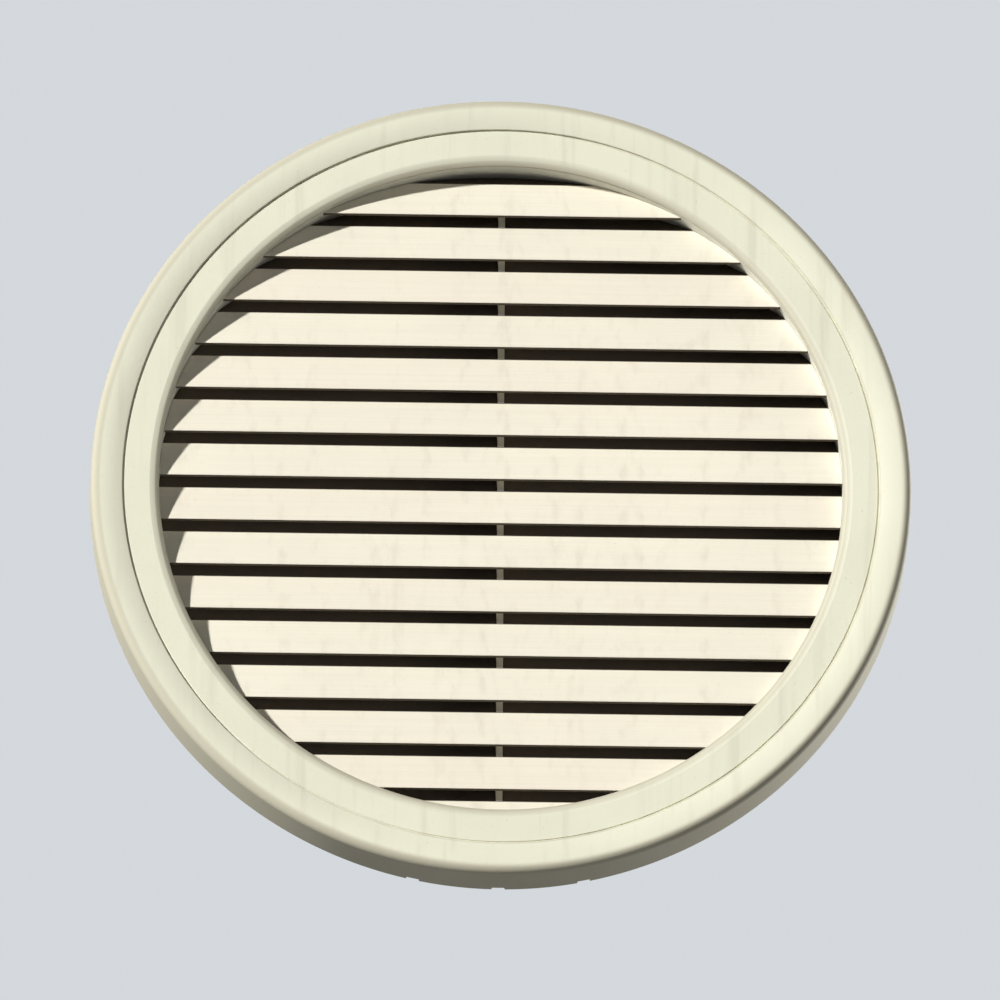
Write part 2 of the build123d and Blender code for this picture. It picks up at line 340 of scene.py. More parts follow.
def ramp(tree, value, low, high, start=0.0, end=1.0):
    """Takes a value from low to high onto start to end, and holds it there beyond them."""
    made = node(
        tree,
        "ShaderNodeMapRange",
        {"Value": value, "From Min": low, "From Max": high, "To Min": start, "To Max": end},
        interpolation_type="SMOOTHSTEP",
    )
    return made.outputs[0]


def apart(tree, vector):
    """The three parts of a vector by their names."""
    return node(tree, "ShaderNodeSeparateXYZ", {0: vector}).outputs


def normal_parts(tree):
    """The parts of the direction that a surface faces."""
    return apart(tree, node(tree, "ShaderNodeNewGeometry").outputs["Normal"])


def tinted(tree, share, under, over):
    """One colour laid over another by a share."""
    return node(tree, "ShaderNodeMix", {0: share, 6: under, 7: over}, data_type="RGBA").outputs[2]


plastic_ior = 1.46
chalked_share = 0.955
patch_scale = 8
streak_stretch = (75, 75, 3.2)
streak_share = 0.2
speck_scale = 380
speck_share = 0.22
dust_scale = 45
dust_share = 0.34
peel_scale = 240
pore_scale = 1500
pore_share = 0.35
dullest = 0.85
relief_strength = 0.6


def plastic(name, colour, stain, roughness):
    """Begins a moulded plastic: patches of chalking, rain streaks, specks and dust on what faces up."""
    material = bpy.data.materials.new(name)
    material.use_nodes = True
    tree = material.node_tree
    place = node(tree, "ShaderNodeTexCoord").outputs["Object"]
    patches = noise(tree, place, patch_scale, 5)
    chalked = [channel * chalked_share for channel in colour]
    shade = tinted(tree, ramp(tree, patches, 0.35, 0.7), chalked + [1], colour + [1])
    streaks = noise(tree, place, 1, 4, streak_stretch)
    shade = tinted(tree, ramp(tree, streaks, 0.5, 0.78, 0, streak_share), shade, stain + [1])
    specks = noise(tree, place, speck_scale, 2)
    shade = tinted(tree, ramp(tree, specks, 0.68, 0.76, 0, speck_share), shade, stain + [1])
    upward = ramp(tree, normal_parts(tree)["Z"], 0.25, 0.95)
    settled = sums(tree, "MULTIPLY", upward, ramp(tree, noise(tree, place, dust_scale), 0.3, 0.7))
    shade = tinted(tree, sums(tree, "MULTIPLY", settled, dust_share), shade, stain + [1])
    gloss = sums(tree, "ADD", ramp(tree, patches, 0.3, 0.7, roughness + 0.1, roughness - 0.04), settled)
    peel = noise(tree, place, peel_scale, 3)
    pores = noise(tree, place, pore_scale, 2)
    height = sums(tree, "MULTIPLY_ADD", pores, pore_share, peel)
    return material, tree, place, shade, sums(tree, "MINIMUM", gloss, dullest), height


def end_plastic(material, tree, shade, gloss, height, relief):
    """Joins a plastic's colour, gloss and relief to its shader."""
    shader = tree.nodes["Principled BSDF"]
    bump = node(tree, "ShaderNodeBump", {"Height": height, "Strength": relief_strength, "Distance": relief})
    tree.links.new(shade, shader.inputs["Base Color"])
    tree.links.new(gloss, shader.inputs["Roughness"])
    tree.links.new(bump.outputs[0], shader.inputs["Normal"])
    shader.inputs["IOR"].default_value = plastic_ior
    return material


def near(tree, value, middle, reach):
    """A mask that is 1 where a value is at its middle and 0 beyond its reach."""
    off = sums(tree, "ABSOLUTE", sums(tree, "SUBTRACT", value, middle))
    return ramp(tree, off, 0.25 * reach, reach, 1, 0)


def squared(tree, across, along):
    """The square of how far off two places at right angles lead."""
    return sums(tree, "MULTIPLY_ADD", across, across, sums(tree, "MULTIPLY", along, along))


ring_cream = [0.895, 0.88, 0.69]
ring_stain = [0.40, 0.36, 0.26]
# The next three colours are painted shade on the rim and the bevel, painted shade on the bead, and grime with
# painted shade in the groove and at the lip.
rim_and_bevel_painted_shade = [0.58, 0.545, 0.41, 1]
bead_painted_shade = [0.55, 0.52, 0.40, 1]
groove_grime_and_shade = [0.30, 0.28, 0.21, 1]
ring_roughness = 0.66
ring_relief = 0.0002
rim_fade = 0.003
bevel_fade = 0.002
bead_shade_share = 0.08
lip_grime_and_shade_share = 0.7


def ring_plastic():
    """Cream plastic, with painted shade on the rim and the bevel that holds their highlights down, grime and
    painted shade in the groove and at the lip, and a little painted shade on the bead.
    """
    material, tree, place, shade, gloss, height = plastic(
        "ring_plastic", ring_cream, ring_stain, ring_roughness
    )
    axes = apart(tree, place)
    radius = sums(tree, "SQRT", squared(tree, axes["X"], axes["Z"]))
    # Painted shade on the rim and the bevel, which holds their highlights down.
    rim_and_bevel_shade_mask = sums(
        tree,
        "MAXIMUM",
        ramp(tree, radius, crest_radius - rim_fade, crest_radius + rim_fade),
        ramp(tree, radius, band_inner + bevel_fade, throat_radius),
    )
    shade = tinted(tree, rim_and_bevel_shade_mask, shade, rim_and_bevel_painted_shade)
    # Painted shade on the bead's slope, deepening towards the groove.
    bead_shade_mask = sums(
        tree,
        "MULTIPLY",
        ramp(tree, radius, crest_radius, groove_outer, 0, bead_shade_share),
        sums(tree, "GREATER_THAN", radius, groove_outer - 0.5 * groove_width),
    )
    shade = tinted(tree, bead_shade_mask, shade, bead_painted_shade)
    # Grime and painted shade in the groove and along the lip of the throat.
    broken = ramp(tree, noise(tree, place, 30, 5), 0.25, 0.75, 0.15, 0.42)
    grime_and_shade_mask = near(tree, radius, groove_outer - 0.25 * groove_width, 0.9 * groove_width)
    under_lip = sums(tree, "MULTIPLY", near(tree, radius, throat_radius, wall), lip_grime_and_shade_share)
    grime_and_shade_mask = sums(tree, "MAXIMUM", grime_and_shade_mask, under_lip)
    shade = tinted(tree, sums(tree, "MULTIPLY", grime_and_shade_mask, broken), shade, groove_grime_and_shade)
    return end_plastic(material, tree, shade, gloss, height, ring_relief)


ring_outline = soften(
    [(ring_radius, siding, mould_corner)]
    + arc((crest_radius, crest - rim_radius), rim_radius, 0, 90)
    + arc(bead_centre, bead_radius, 90, 90 + math.degrees(math.asin(bead_width / bead_radius)))
    + [
        (groove_outer, groove, fine_corner),
        (groove_inner, groove, fine_corner),
        (band_outer, band_front, fine_corner),
        (band_inner, band_front, band_corner),
        (throat_radius + bulge_inset, lip_front + bulge_rise, bulge_corner),
        (throat_radius, lip_front, mould_corner),
        (throat_radius, lip_back, mould_corner),
        (sleeve_inner, lip_back, 0),
        (sleeve_inner, lip_back - sleeve_length, mould_corner),
        (sleeve_outer, lip_back - sleeve_length, mould_corner),
        (sleeve_outer, bevel_back + (sleeve_outer - throat_radius) * bevel_slope, mould_corner),
        (throat_radius + (band_front - wall - bevel_back) / bevel_slope, band_front - wall, mould_corner),
        (band_outer - wall, band_front - wall, mould_corner),
        (groove_inner - wall, groove - wall, mould_corner),
        (groove_outer, groove - wall, mould_corner),
        (crest_radius - bead_width / 2, crest - bead_depth / 4 - wall, hollow_corner),
        (crest_radius, crest - wall, rim_radius - wall),
        (ring_radius - wall, crest - rim_radius, rim_radius - wall),
        (ring_radius - wall, siding, mould_corner),
    ]
)
turned = turned_tree()
cuts = cuts_tree()
full_turn = {"Guide": throat_radius, "Segments": ring_segments, "Full": True}
ring = grow(
    "ring_moulding",
    outline_mesh("ring_section", ring_outline),
    ring_plastic(),
    (turned, full_turn),
    (
        cuts,
        {
            "Count": weep_count,
            "Circle": ring_radius,
            "Depth": siding,
            "First": -math.pi / 2 - weep_spacing * (weep_count - 1) / 2,
            "Step": weep_spacing,
            "Size": weep_size,
        },
    ),
)
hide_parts("trim_ring")

# Drum: the plain off-white collar that the louvers stand in, moulded in one with its shoulder for the flange,
# four ratchet ridges for the ring's clips, and a ledge inside for the screen.
drum_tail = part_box("throat_collar")[1].y
drum_radius = throat_radius + wall
shoulder_height = 0.0055
shoulder_front = 0.006
flange_thickness = 0.003
ridge_depths = [0.027, 0.022, 0.017, 0.012]
ridge_width = 0.003
ridge_height = 0.0018
ledge_width = 0.008
ledge_front = 0.010
ledge_back = 0.013
screw_count = 8
screw_circle = throat_radius - ledge_width / 2
screw_hole = 0.0038
base_white = [0.70, 0.69, 0.60]
base_stain = [0.36, 0.34, 0.28]
base_deeper_colour = [0.30, 0.28, 0.24, 1]
base_deeper_share = 0.12
base_deeper_reach = 0.016
base_roughness = 0.5
base_relief = 0.00015


def base_plastic():
    """Off-white plastic that the weather hardly reaches, darker towards the back behind the ring's lip."""
    material, tree, place, shade, gloss, height = plastic(
        "base_plastic", base_white, base_stain, base_roughness
    )
    # Darker towards the back, behind the ring's lip.
    inside = ramp(tree, apart(tree, place)["Y"], -lip_back, base_deeper_reach - lip_back)
    shade = tinted(tree, sums(tree, "MULTIPLY", inside, base_deeper_share), shade, base_deeper_colour)
    return end_plastic(material, tree, shade, gloss, height, base_relief)


plain_plastic = base_plastic()
drum_outline = [
    (throat_radius, lip_back - fit_gap, fine_corner),
    (drum_radius, lip_back - fit_gap, fine_corner),
]
for ridge in ridge_depths:
    drum_outline += [
        (drum_radius, ridge + ridge_width / 2, fine_corner),
        (drum_radius + ridge_height, ridge, fine_corner),
        (drum_radius, ridge - ridge_width / 2, fine_corner),
    ]
drum_outline += [
    (drum_radius, shoulder_front, fine_corner),
    (drum_radius + shoulder_height, shoulder_front, mould_corner),
    (drum_radius + shoulder_height, flange_thickness, 0),
    (drum_radius, flange_thickness, 0),
    (drum_radius, -drum_tail, mould_corner),
    (throat_radius, -drum_tail, mould_corner),
    (throat_radius, -ledge_back, fine_corner),
    (throat_radius - ledge_width, -ledge_back, mould_corner),
    (throat_radius - ledge_width, -ledge_front, mould_corner),
    (throat_radius, -ledge_front, fine_corner),
]
drum = grow(
    "drum",
    outline_mesh("drum_section", soften(drum_outline, 3)),
    plain_plastic,
    (turned, full_turn),
    (
        cuts,
        {
            **evenly(screw_count, screw_circle),
            "Depth": -(ledge_front + ledge_back) / 2,
            "Size": (screw_hole, 3 * (ledge_back - ledge_front), screw_hole),
            "Sides": hole_sides,
        },
    ),
)
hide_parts("throat_collar")

# Louvers: fifteen fixed blades in the same cream plastic, each with a thick drip edge, a steep face, a bend,
# and a leg that rises behind the blade above and ends in a rain lip. Each is one section drawn across the
# drum and cut to its bore, and its ends are welded to cleats on the drum's wall.
louver_names = sorted(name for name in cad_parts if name.startswith("louver_"))
middle_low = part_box("louver_08")[0]
blade_setback = 0.0055
blade_front = lip_front - blade_setback
fill_radius = throat_radius - fit_gap
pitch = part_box("louver_07")[0].z - middle_low.z
air_gap = 0.0081
face_tilt = math.radians(20)
leg_slope = math.radians(40)
leg_overlap = 0.0119
lip_height = 0.0016
blade_thickness = 0.003
drip_thickness = 0.0055
drip_height = 0.009
drip_corner = 0.0012
bend_corner = 0.0018
blade_divisions = 25
bore_sides = 256
bore_length = 0.4
face_rise = pitch - air_gap
face_run = face_rise * math.tan(face_tilt)
leg_rise = air_gap + leg_overlap
leg_run = leg_rise / math.tan(leg_slope)


def blade_outline(nose_z):
    """A blade's section as places along Y and down, from its bottom front edge up the face and round."""
    face_back = blade_thickness / math.cos(face_tilt)
    leg_under = blade_thickness / math.cos(leg_slope)
    top_y = face_run + leg_run
    top_z = face_rise + leg_rise
    lip_y = top_y + blade_thickness
    under_z = face_rise - face_run * math.tan(leg_slope) - leg_under
    bend_y = (under_z * math.tan(face_tilt) + face_back) / (1 - math.tan(face_tilt) * math.tan(leg_slope))
    outline = [
        (0, 0, drip_corner),
        (face_run, face_rise, bend_corner),
        (top_y, top_z, fine_corner),
        (top_y, top_z + lip_height, mould_corner),
        (lip_y, top_z + lip_height, mould_corner),
        (lip_y, top_z - leg_under + blade_thickness * math.tan(leg_slope), mould_corner),
        (bend_y, under_z + bend_y * math.tan(leg_slope), bend_corner),
        (drip_height * math.tan(face_tilt) + face_back, drip_height, mould_corner),
        (drip_thickness, 0, mould_corner),
    ]
    return [(y - blade_front, -z - nose_z, radius) for y, z, radius in outline]


def across_tree():
    """Draws sections of Y and depth below the axis across the drum and cuts them to its bore."""
    tree, given = new_tree("across", Bore="Float", Divisions="Int", Tint="Float")
    start = node(tree, "ShaderNodeCombineXYZ", {"X": given["Bore"]})
    end = node(tree, "ShaderNodeCombineXYZ", {"X": sums(tree, "MULTIPLY", given["Bore"], -1)})
    line = node(tree, "GeometryNodeCurvePrimitiveLine", {"Start": start.outputs[0], "End": end.outputs[0]})
    line = node(tree, "GeometryNodeResampleCurve", {"Curve": line.outputs[0], "Count": given["Divisions"]})
    line = node(tree, "GeometryNodeSetCurveNormal", {"Curve": line.outputs[0]}, mode="Z_UP")
    profile = node(tree, "GeometryNodeMeshToCurve", {"Mesh": given["Geometry"]})
    drawn = node(
        tree,
        "GeometryNodeCurveToMesh",
        {"Curve": line.outputs[0], "Profile Curve": profile.outputs[0], "Fill Caps": True},
    )
    bore = node(
        tree,
        "GeometryNodeMeshCylinder",
        {"Vertices": bore_sides, "Radius": given["Bore"], "Depth": bore_length},
    )
    bore = node(
        tree, "GeometryNodeTransform", {"Geometry": bore.outputs[0], "Rotation": (math.pi / 2, 0, 0)}
    )
    cut = node(
        tree,
        "GeometryNodeMeshBoolean",
        {"Mesh 2": drawn.outputs[0]},
        operation="INTERSECT",
        solver="EXACT",
    )
    tree.links.new(bore.outputs[0], cut.inputs["Mesh 2"])
    marked = node(
        tree,
        "GeometryNodeStoreNamedAttribute",
        {"Geometry": cut.outputs[0], "Name": "tint", "Value": given["Tint"]},
    )
    return end_tree(tree, given, marked.outputs[0])


louver_cream = [0.95, 0.9, 0.735]
louver_stain = [0.42, 0.35, 0.25]
louver_warm = [0.93, 0.82, 0.67, 1]
drag_shade = [0.60, 0.55, 0.44, 1]
# Painted shade for the louvers' recesses and undersides.
painted_recess_shade = [0.05, 0.034, 0.018, 1]
warm_share = 0.5
drag_stretch = (5, 420, 420)
drag_share = 0.1
drag_height = 1.6
underside_shade_share = 0.95
mullion_shade_share = 0.35
louver_roughness = 0.58
louver_relief = 0.00022


def louver_plastic(name, painted_shade_share):
    """Cream plastic with fine drag lines along the blade, each blade a little warmer or cooler, and a share
    of painted shade behind the bend and on the undersides, where the gaps lie in shade."""
    material, tree, place, shade, gloss, height = plastic(
        name, louver_cream, louver_stain, louver_roughness
    )
    tint = node(tree, "ShaderNodeAttribute", attribute_name="tint").outputs["Fac"]
    shade = tinted(tree, sums(tree, "MULTIPLY", tint, warm_share), shade, louver_warm)
    drag = noise(tree, place, 1, 5, drag_stretch, 0.6)
    shade = tinted(tree, ramp(tree, drag, 0.3, 0.7, 0.0, drag_share), shade, drag_shade)
    height = sums(tree, "MULTIPLY_ADD", drag, drag_height, height)
    # Painted shade behind the bend and on the undersides, darkening the gaps between the blades.
    bend = face_run - blade_front
    behind = ramp(tree, apart(tree, place)["Y"], bend - 0.0002, bend + 0.001)
    under = ramp(tree, normal_parts(tree)["Z"], -0.5, -0.9, 0, underside_shade_share)
    painted_shade_mask = sums(tree, "MAXIMUM", behind, under)
    painted_shade_mask = sums(tree, "MULTIPLY", painted_shade_mask, painted_shade_share)
    shade = tinted(tree, painted_shade_mask, shade, painted_recess_shade)
    gloss = sums(tree, "MAXIMUM", gloss, painted_shade_mask)
    return end_plastic(material, tree, shade, gloss, height, louver_relief)


across = across_tree()
blade_plastic = louver_plastic("louver_plastic", 1.0)
middle_number = louver_names.index("louver_08")
nose_heights = [middle_low.z + pitch * (middle_number - number) for number in range(len(louver_names))]
random.seed(7)
for louver, nose_z in zip(louver_names, nose_heights):
    blade = grow(
        louver.replace("louver", "blade"),
        outline_mesh("blade_section", soften(blade_outline(nose_z), 4)),
        blade_plastic,
        (across, {"Bore": fill_radius, "Divisions": blade_divisions, "Tint": random.random()}),
    )
    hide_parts(louver)

# Cleats: short ribs moulded inside the drum, one at each end of a blade, in the drum's own plastic. The
# blades' ends are welded to them behind their faces. The lowest blade sits on the drum's wall and has none.
cleat_reach = 0.009
cleat_thickness = 0.003
cleat_outlines = []
for nose_z in nose_heights[:-1]:
    bend_back, nose_back = blade_outline(nose_z)[-3:-1]
    near_side = (nose_back[0] + fit_gap, bend_back[0] + fit_gap)
    cleat_end = bend_back[1] + cleat_thickness
    cleat_outlines.append(
        soften(
            [
                (near_side[0], nose_back[1], fine_corner),
                (near_side[1], cleat_end, fine_corner),
                (near_side[1] + cleat_thickness, cleat_end, mould_corner),
                (near_side[0] + cleat_thickness, nose_back[1], mould_corner),
            ],
            3,
        )
    )
cleat_bore = 2 * (throat_radius - cleat_reach)
cleats = grow(
    "cleats",
    outline_mesh("cleat_sections", *cleat_outlines),
    plain_plastic,
    (across, {"Bore": throat_radius + wall / 2, "Divisions": 2, "Tint": 0.0}),
    (cuts, {"Count": 1, "Size": (cleat_bore, 4 * crest, cleat_bore), "Sides": ring_segments}),
)
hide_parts("throat_collar")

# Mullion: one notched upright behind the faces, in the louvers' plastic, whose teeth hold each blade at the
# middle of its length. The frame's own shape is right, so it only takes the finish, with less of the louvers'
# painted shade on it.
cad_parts["center_mullion"].data.materials.clear()
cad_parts["center_mullion"].data.materials.append(louver_plastic("mullion_plastic", mullion_shade_share))

# Nailing flange: the flat ring of the same off-white plastic that is screwed to the sheathing under the
# siding. It has twelve screw holes, and four notches for setting it level.
flange_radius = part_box("nailing_flange")[1].x
nail_inset = 0.016
nail_circle = flange_radius - nail_inset
nail_hole = 0.006
nail_count = 12
level_notch = 0.006
level_count = 4
flange_outline = [
    (drum_radius + fit_gap, 0, 0),
    (flange_radius, 0, fine_corner),
    (flange_radius, flange_thickness, mould_corner),
    (drum_radius + fit_gap, flange_thickness, 0),
]
flange = grow(
    "flange_plate",
    outline_mesh("flange_section", soften(flange_outline)),
    plain_plastic,
    (turned, full_turn),
    (
        cuts,
        {
            **evenly(nail_count, nail_circle),
            "Depth": flange_thickness / 2,
            "Size": (nail_hole, 3 * flange_thickness, nail_hole),
            "Sides": hole_sides,
        },
    ),
    (
        cuts,
        {
            "Count": level_count,
            "Circle": flange_radius,
            "Depth": flange_thickness / 2,
            "Step": 2 * math.pi / level_count,
            "Size": (level_notch, 3 * flange_thickness, level_notch),
            "Turn": math.pi / 4,
        },
    ),
)
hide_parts("nailing_flange")

# Snap clips: eight curved tongues behind the ring's sleeve, in the drum's plastic. Each has a tooth that
# drops between two of the drum's ridges, which is what holds the ring on.
clip_count = 8
clip_arc = math.radians(4.5)
clip_segments = 9
clip_thickness = 0.003
clip_inset = 0.0115
clip_tail = 0.0055
tooth_reach = 0.003
tooth_tip = 0.001
clip_inner = sleeve_outer + fit_gap
clip_front = lip_back - clip_inset
tooth_depth = (ridge_depths[-1] + ridge_depths[-2]) / 2
clip_back = tooth_depth - clip_tail


def ringed_tree():
    """Sets copies of a piece on a circle about the vent's axis."""
    tree, given = new_tree("ringed", Count="Int", Circle="Float", First="Float", Step="Float", Spin="Float")
    copies = around(
        tree, given["Geometry"], given["Count"], given["Circle"], given["First"], given["Step"], given["Spin"]
    )
    return end_tree(tree, given, copies)


ringed = ringed_tree()
clip_outline = [
    (clip_inner, clip_front, fine_corner),
    (clip_inner + clip_thickness, clip_front, mould_corner),
    (clip_inner + clip_thickness, clip_back, mould_corner),
    (clip_inner, clip_back, mould_corner),
    (clip_inner, tooth_depth - tooth_tip, fine_corner),
    (clip_inner - tooth_reach, tooth_depth - tooth_tip / 2, fine_corner),
    (clip_inner - tooth_reach, tooth_depth + tooth_tip / 2, fine_corner),
    (clip_inner, tooth_depth + tooth_reach, fine_corner),
]
clips = grow(
    "clips",
    outline_mesh("clip_section", soften(clip_outline, 3)),
    plain_plastic,
    (
        turned,
        {"Guide": throat_radius, "Segments": clip_segments, "Start": -clip_arc / 2, "Sweep": clip_arc},
    ),
    (ringed, evenly(clip_count)),
)
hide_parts("snap_clips")

# Insect screen: a round of charcoal glass yarn, woven eight to the inch, coated and laid on the drum's
# ledge. Each yarn bends over and under the ones that cross it, and the coating bonds them there.
screen_low, screen_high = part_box("insect_screen")
screen_middle = (screen_low.y + screen_high.y) / 2
screen_margin = 0.0008
screen_radius = screen_high.x - screen_margin
mesh_pitch = 0.003175
yarn_radius = 0.0003
yarn_sides = 3
yarn_bend = (screen_high.y - screen_low.y) / 2 - yarn_radius
yarn_count = 2 * math.ceil(screen_radius / mesh_pitch) + 1


def woven_tree():
    """Lays parallel yarns on a round, each bent over and under at every crossing."""
    tree, given = new_tree(
        "woven", Radius="Float", Pitch="Float", Count="Int", Yarn="Float", Bend="Float", Turn="Float",
        Depth="Float",
    )
    span = sums(tree, "MULTIPLY", sums(tree, "SUBTRACT", given["Count"], 1), given["Pitch"])
    grid = node(
        tree,
        "GeometryNodeMeshGrid",
        {"Size X": span, "Size Y": span, "Vertices X": given["Count"], "Vertices Y": given["Count"]},
    )
    odd = sums(tree, "MODULO", node(tree, "GeometryNodeInputIndex").outputs[0], 2)
    over = sums(tree, "MULTIPLY", given["Bend"], sums(tree, "MULTIPLY_ADD", odd, -2, 1))
    lift = node(tree, "ShaderNodeCombineXYZ", {"Z": over})
    bent = node(tree, "GeometryNodeSetPosition", {"Geometry": grid.outputs[0], "Offset": lift.outputs[0]})
    ends = node(tree, "GeometryNodeInputMeshEdgeVertices").outputs
    rows = [apart(tree, ends[end])["Y"] for end in ("Position 1", "Position 2")]
    crossing = sums(
        tree,
        "GREATER_THAN",
        sums(tree, "ABSOLUTE", sums(tree, "SUBTRACT", rows[0], rows[1])),
        sums(tree, "MULTIPLY", given["Pitch"], 0.5),
    )
    lines = node(
        tree,
        "GeometryNodeDeleteGeometry",
        {"Geometry": bent.outputs[0], "Selection": crossing},
        domain="EDGE",
        mode="EDGE_FACE",
    )
    place = apart(tree, node(tree, "GeometryNodeInputPosition").outputs[0])
    edge = sums(tree, "MULTIPLY", given["Radius"], given["Radius"])
    beyond = sums(tree, "GREATER_THAN", squared(tree, place["X"], place["Y"]), edge)
    lines = node(
        tree,
        "GeometryNodeDeleteGeometry",
        {"Geometry": lines.outputs[0], "Selection": beyond},
        domain="POINT",
        mode="ALL",
    )
    yarns = node(tree, "GeometryNodeMeshToCurve", {"Mesh": lines.outputs[0]})
    section = node(
        tree, "GeometryNodeCurvePrimitiveCircle", {"Resolution": yarn_sides, "Radius": given["Yarn"]}
    )
    yarns = node(
        tree,
        "GeometryNodeCurveToMesh",
        {"Curve": yarns.outputs[0], "Profile Curve": section.outputs[0], "Fill Caps": True},
    )
    turn = node(tree, "ShaderNodeCombineXYZ", {"Z": given["Turn"]})
    turned_yarns = node(
        tree, "GeometryNodeTransform", {"Geometry": yarns.outputs[0], "Rotation": turn.outputs[0]}
    )
    depth = node(tree, "ShaderNodeCombineXYZ", {"Y": given["Depth"]})
    laid = node(
        tree,
        "GeometryNodeTransform",
        {
            "Geometry": turned_yarns.outputs[0],
            "Rotation": (math.pi / 2, 0, 0),
            "Translation": depth.outputs[0],
        },
    )
    return end_tree(tree, given, laid.outputs[0])


coating_charcoal = [0.030, 0.031, 0.033, 1]
coating_dust = [0.20, 0.185, 0.16, 1]
coating_relief = 0.00004


def coated_yarn():
    """Charcoal coating with a dull sheen, greyed by dust in patches and along the yarns."""
    material = bpy.data.materials.new("coated_yarn")
    material.use_nodes = True
    tree = material.node_tree
    place = node(tree, "ShaderNodeTexCoord").outputs["Object"]
    patches = noise(tree, place, 14, 5)
    lint = noise(tree, place, 420, 3)
    dust = sums(tree, "MULTIPLY", ramp(tree, patches, 0.35, 0.75, 0.15, 0.75), ramp(tree, lint, 0.35, 0.7))
    shade = tinted(tree, dust, coating_charcoal, coating_dust)
    gloss = ramp(tree, dust, 0, 0.5, 0.42, 0.8)
    return end_plastic(material, tree, shade, gloss, noise(tree, place, 2400, 2), coating_relief)


woven = woven_tree()
yarn_coating = coated_yarn()
for name, turn, bend in (("screen_warp", 0.0, yarn_bend), ("screen_weft", math.pi / 2, -yarn_bend)):
    yarns = grow(
        name,
        bpy.data.meshes.new(name),
        yarn_coating,
        (
            woven,
            {
                "Radius": screen_radius,
                "Pitch": mesh_pitch,
                "Count": yarn_count,
                "Yarn": yarn_radius,
                "Bend": bend,
                "Turn": turn,
                "Depth": screen_middle,
            },
        ),
    )
    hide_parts("insect_screen")

# Screen retainer: a flat ring of the drum's plastic with bevelled back edges, which clamps the screen on
# the ledge. It has a clearance hole for each of its screws.
retainer_low, retainer_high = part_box("screen_retainer")
retainer_width = 0.011
retainer_edge = 0.0008
retainer_inner = throat_radius - retainer_width
retainer_outline = [
    (retainer_high.x, -retainer_low.y, fine_corner),
    (retainer_inner, -retainer_low.y, fine_corner),
    (retainer_inner, retainer_edge - retainer_high.y, fine_corner),
    (retainer_inner + retainer_edge, -retainer_high.y, fine_corner),
    (retainer_high.x - retainer_edge, -retainer_high.y, fine_corner),
    (retainer_high.x, retainer_edge - retainer_high.y, fine_corner),
]
retainer = grow(
    "retainer_ring",
    outline_mesh("retainer_section", soften(retainer_outline, 3)),
    plain_plastic,
    (turned, full_turn),
    (
        cuts,
        {
            **evenly(screw_count, screw_circle),
            "Depth": -(retainer_low.y + retainer_high.y) / 2,
            "Size": (screw_hole, 3 * (retainer_high.y - retainer_low.y), screw_hole),
            "Sides": hole_sides,
        },
    ),
)
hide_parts("screen_retainer")

# Retainer screws: eight round-headed screws of zinc-plated steel, with a cross recess and a coarse thread
# that cuts its own way into the ledge. Each is turned from one section and stopped at its own angle.
screw_low, screw_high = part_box("retainer_screws")
head_top = -screw_high.y
screw_tip = -screw_low.y
head_radius = 0.0036
head_seat = -retainer_high.y
thread_crest = 0.00175
thread_root = 0.00135
thread_pitch = 0.0011
thread_count = 6
thread_start = 0.8
thread_half = 0.3
crown_corner = 0.004
head_corner = 0.0012
screw_steps = 5
screw_segments = 40
recess_size = (0.0040, 0.0022, 0.0008)
zinc_blue = [0.60, 0.61, 0.63, 1]
zinc_warm = [0.66, 0.62, 0.52, 1]
zinc_dull = [0.24, 0.23, 0.21, 1]
zinc_relief = 0.00002


def zinc_plate():
    """Zinc plating with a faint warm and blue bloom, dulled in specks."""
    material = bpy.data.materials.new("zinc_plate")
    material.use_nodes = True
    tree = material.node_tree
    place = node(tree, "ShaderNodeTexCoord").outputs["Object"]
    bloom = noise(tree, place, 260, 3)
    specks = noise(tree, place, 1900, 3)
    shade = tinted(tree, ramp(tree, bloom, 0.3, 0.7), zinc_blue, zinc_warm)
    shade = tinted(tree, ramp(tree, specks, 0.58, 0.72, 0, 0.6), shade, zinc_dull)
    gloss = ramp(tree, specks, 0.4, 0.72, 0.30, 0.62)
    tree.nodes["Principled BSDF"].inputs["Metallic"].default_value = 1
    return end_plastic(material, tree, shade, gloss, specks, zinc_relief)


screw_outline = [
    (0, head_top, 0),
    (0.55 * head_radius, head_top, crown_corner),
    (head_radius, head_top + 0.45 * (head_seat - head_top), head_corner),
    (head_radius, head_seat, fine_corner / 2),
    (thread_root, head_seat, 0),
]
for turn in range(thread_count):
    thread_depth = head_seat + (turn + thread_start) * thread_pitch
    screw_outline += [
        (thread_root, thread_depth - thread_half * thread_pitch, 0),
        (thread_crest, thread_depth, 0),
        (thread_root, thread_depth + thread_half * thread_pitch, 0),
    ]
screw_outline.append((0, screw_tip, 0))
screws = grow(
    "screws",
    outline_mesh("screw_section", soften(screw_outline, screw_steps), closed=False),
    zinc_plate(),
    (turned, {"Guide": thread_root, "Segments": screw_segments, "Full": True}),
    (cuts, {"Count": 1, "Depth": head_top, "Size": recess_size}),
    (cuts, {"Count": 1, "Depth": head_top, "Size": recess_size, "Turn": math.pi / 2}),
    (ringed, {**evenly(screw_count, screw_circle), "Spin": math.pi / 2}),
)
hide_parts("retainer_screws")

# Floor and backdrop: plain and pale. The vent hangs high over the floor, as it would on a gable. What the
# camera and the gloss see of both is one even colour, and what lights the vent is dimmer, for deep gaps.
backdrop = [0.66, 0.69, 0.72, 1]
fill_light = 0.09
floor_light = 0.25
floor_drop = 30
floor_reach = 400


def seen_rays(tree):
    """Is 1 for what the camera, a gloss or a clear material looks at, and 0 for light on the object."""
    rays = node(tree, "ShaderNodeLightPath").outputs
    seen = sums(tree, "MAXIMUM", rays["Is Camera Ray"], rays["Is Glossy Ray"])
    return sums(tree, "MAXIMUM", seen, rays["Is Transmission Ray"])


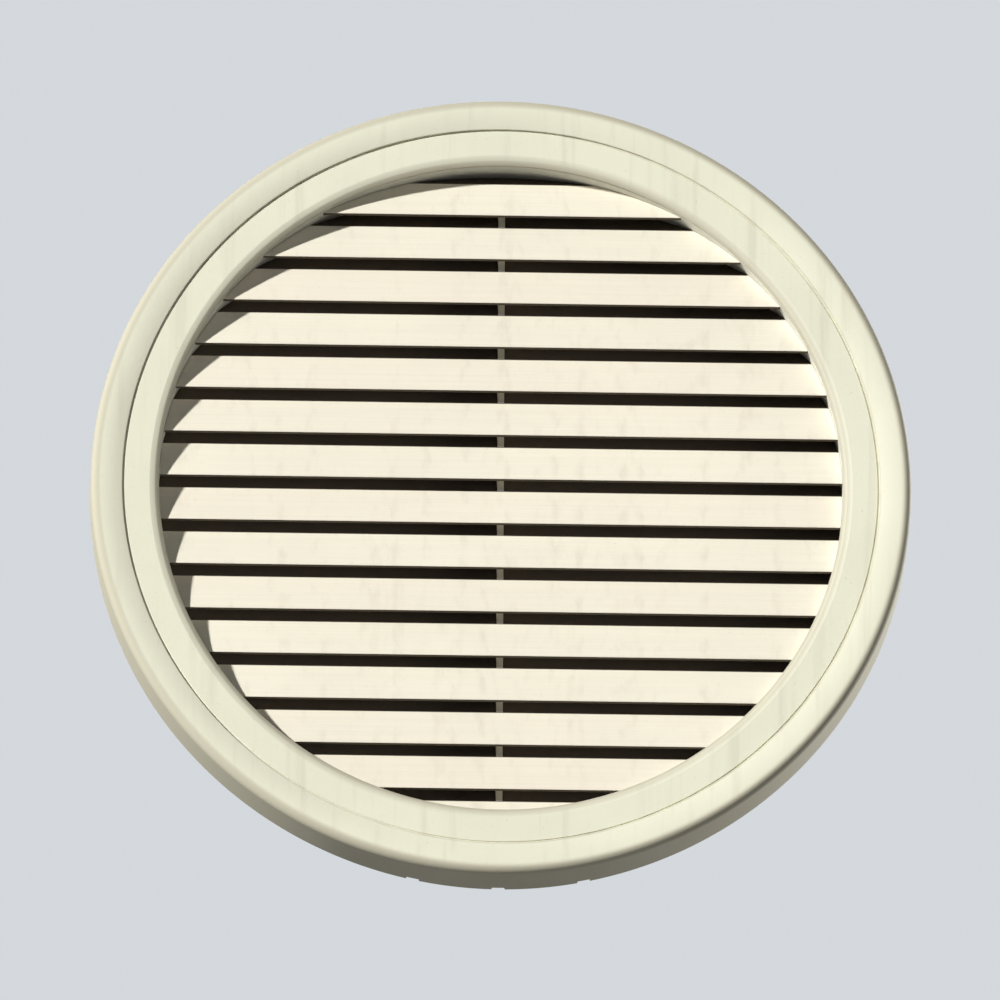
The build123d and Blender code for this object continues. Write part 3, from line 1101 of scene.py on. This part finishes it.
world = bpy.data.worlds.new("world")
bpy.context.scene.world = world
world.use_nodes = True
tree = world.node_tree
sky = tinted(tree, seen_rays(tree), [fill_light] * 3 + [1], backdrop)
tree.links.new(sky, tree.nodes["Background"].inputs["Color"])

pale_floor = bpy.data.materials.new("pale_floor")
pale_floor.use_nodes = True
tree = pale_floor.node_tree
dull = node(tree, "ShaderNodeBsdfDiffuse", {"Color": [floor_light] * 3 + [1]})
even = node(tree, "ShaderNodeEmission", {"Color": backdrop})
shown = node(tree, "ShaderNodeMixShader", {0: seen_rays(tree), 1: dull.outputs[0], 2: even.outputs[0]})
tree.links.new(shown.outputs[0], tree.nodes["Material Output"].inputs["Surface"])
floor_mesh = bpy.data.meshes.new("floor")
floor_corners = [(-floor_reach, -floor_reach), (floor_reach, -floor_reach)]
floor_corners += [(floor_reach, floor_reach), (-floor_reach, floor_reach)]
floor_mesh.from_pydata([(x, y, -floor_drop) for x, y in floor_corners], [], [(0, 1, 2, 3)])
floor_mesh.materials.append(pale_floor)
floor = bpy.data.objects.new("floor", floor_mesh)
bpy.context.scene.collection.objects.link(floor)

# Light: a small key light from the upper left in front, which throws the noses' and the ring's shadows as
# a low sun does, and a broad one from behind on the right for the sides and the back.
for name, strength, spread, heading in (
    ("key_light", 4.3, 4, (1.3, 1, -0.53)),
    ("rear_light", 3.0, 40, (-1, -0.75, -0.45)),
):
    sun = bpy.data.lights.new(name, "SUN")
    sun.energy = strength
    sun.angle = math.radians(spread)
    lamp = bpy.data.objects.new(name, sun)
    lamp.rotation_mode = "QUATERNION"
    lamp.rotation_quaternion = Vector(heading).to_track_quat("-Z", "Y")
    bpy.context.scene.collection.objects.link(lamp)

# Camera: where the photograph was taken from, low in front and a little to the left, with a long lens. It
# leans by a quarter of a degree, as the photograph does.
eye = Vector((-0.6035, -21.761, -7.816))
target = (cad_box[0] + cad_box[1]) / 2
focal_length = 895
lean = 0.0046545
view_reach = 200
lens = bpy.data.cameras.new("camera")
lens.lens = focal_length
lens.clip_end = view_reach
camera = bpy.data.objects.new("camera", lens)
camera.location = eye
camera.rotation_mode = "QUATERNION"
roll = Quaternion((0, 0, 1), lean)
camera.rotation_quaternion = (target - eye).to_track_quat("-Z", "Y") @ roll
bpy.context.scene.collection.objects.link(camera)
bpy.context.scene.camera = camera
bpy.context.scene.view_settings.view_transform = "Standard"
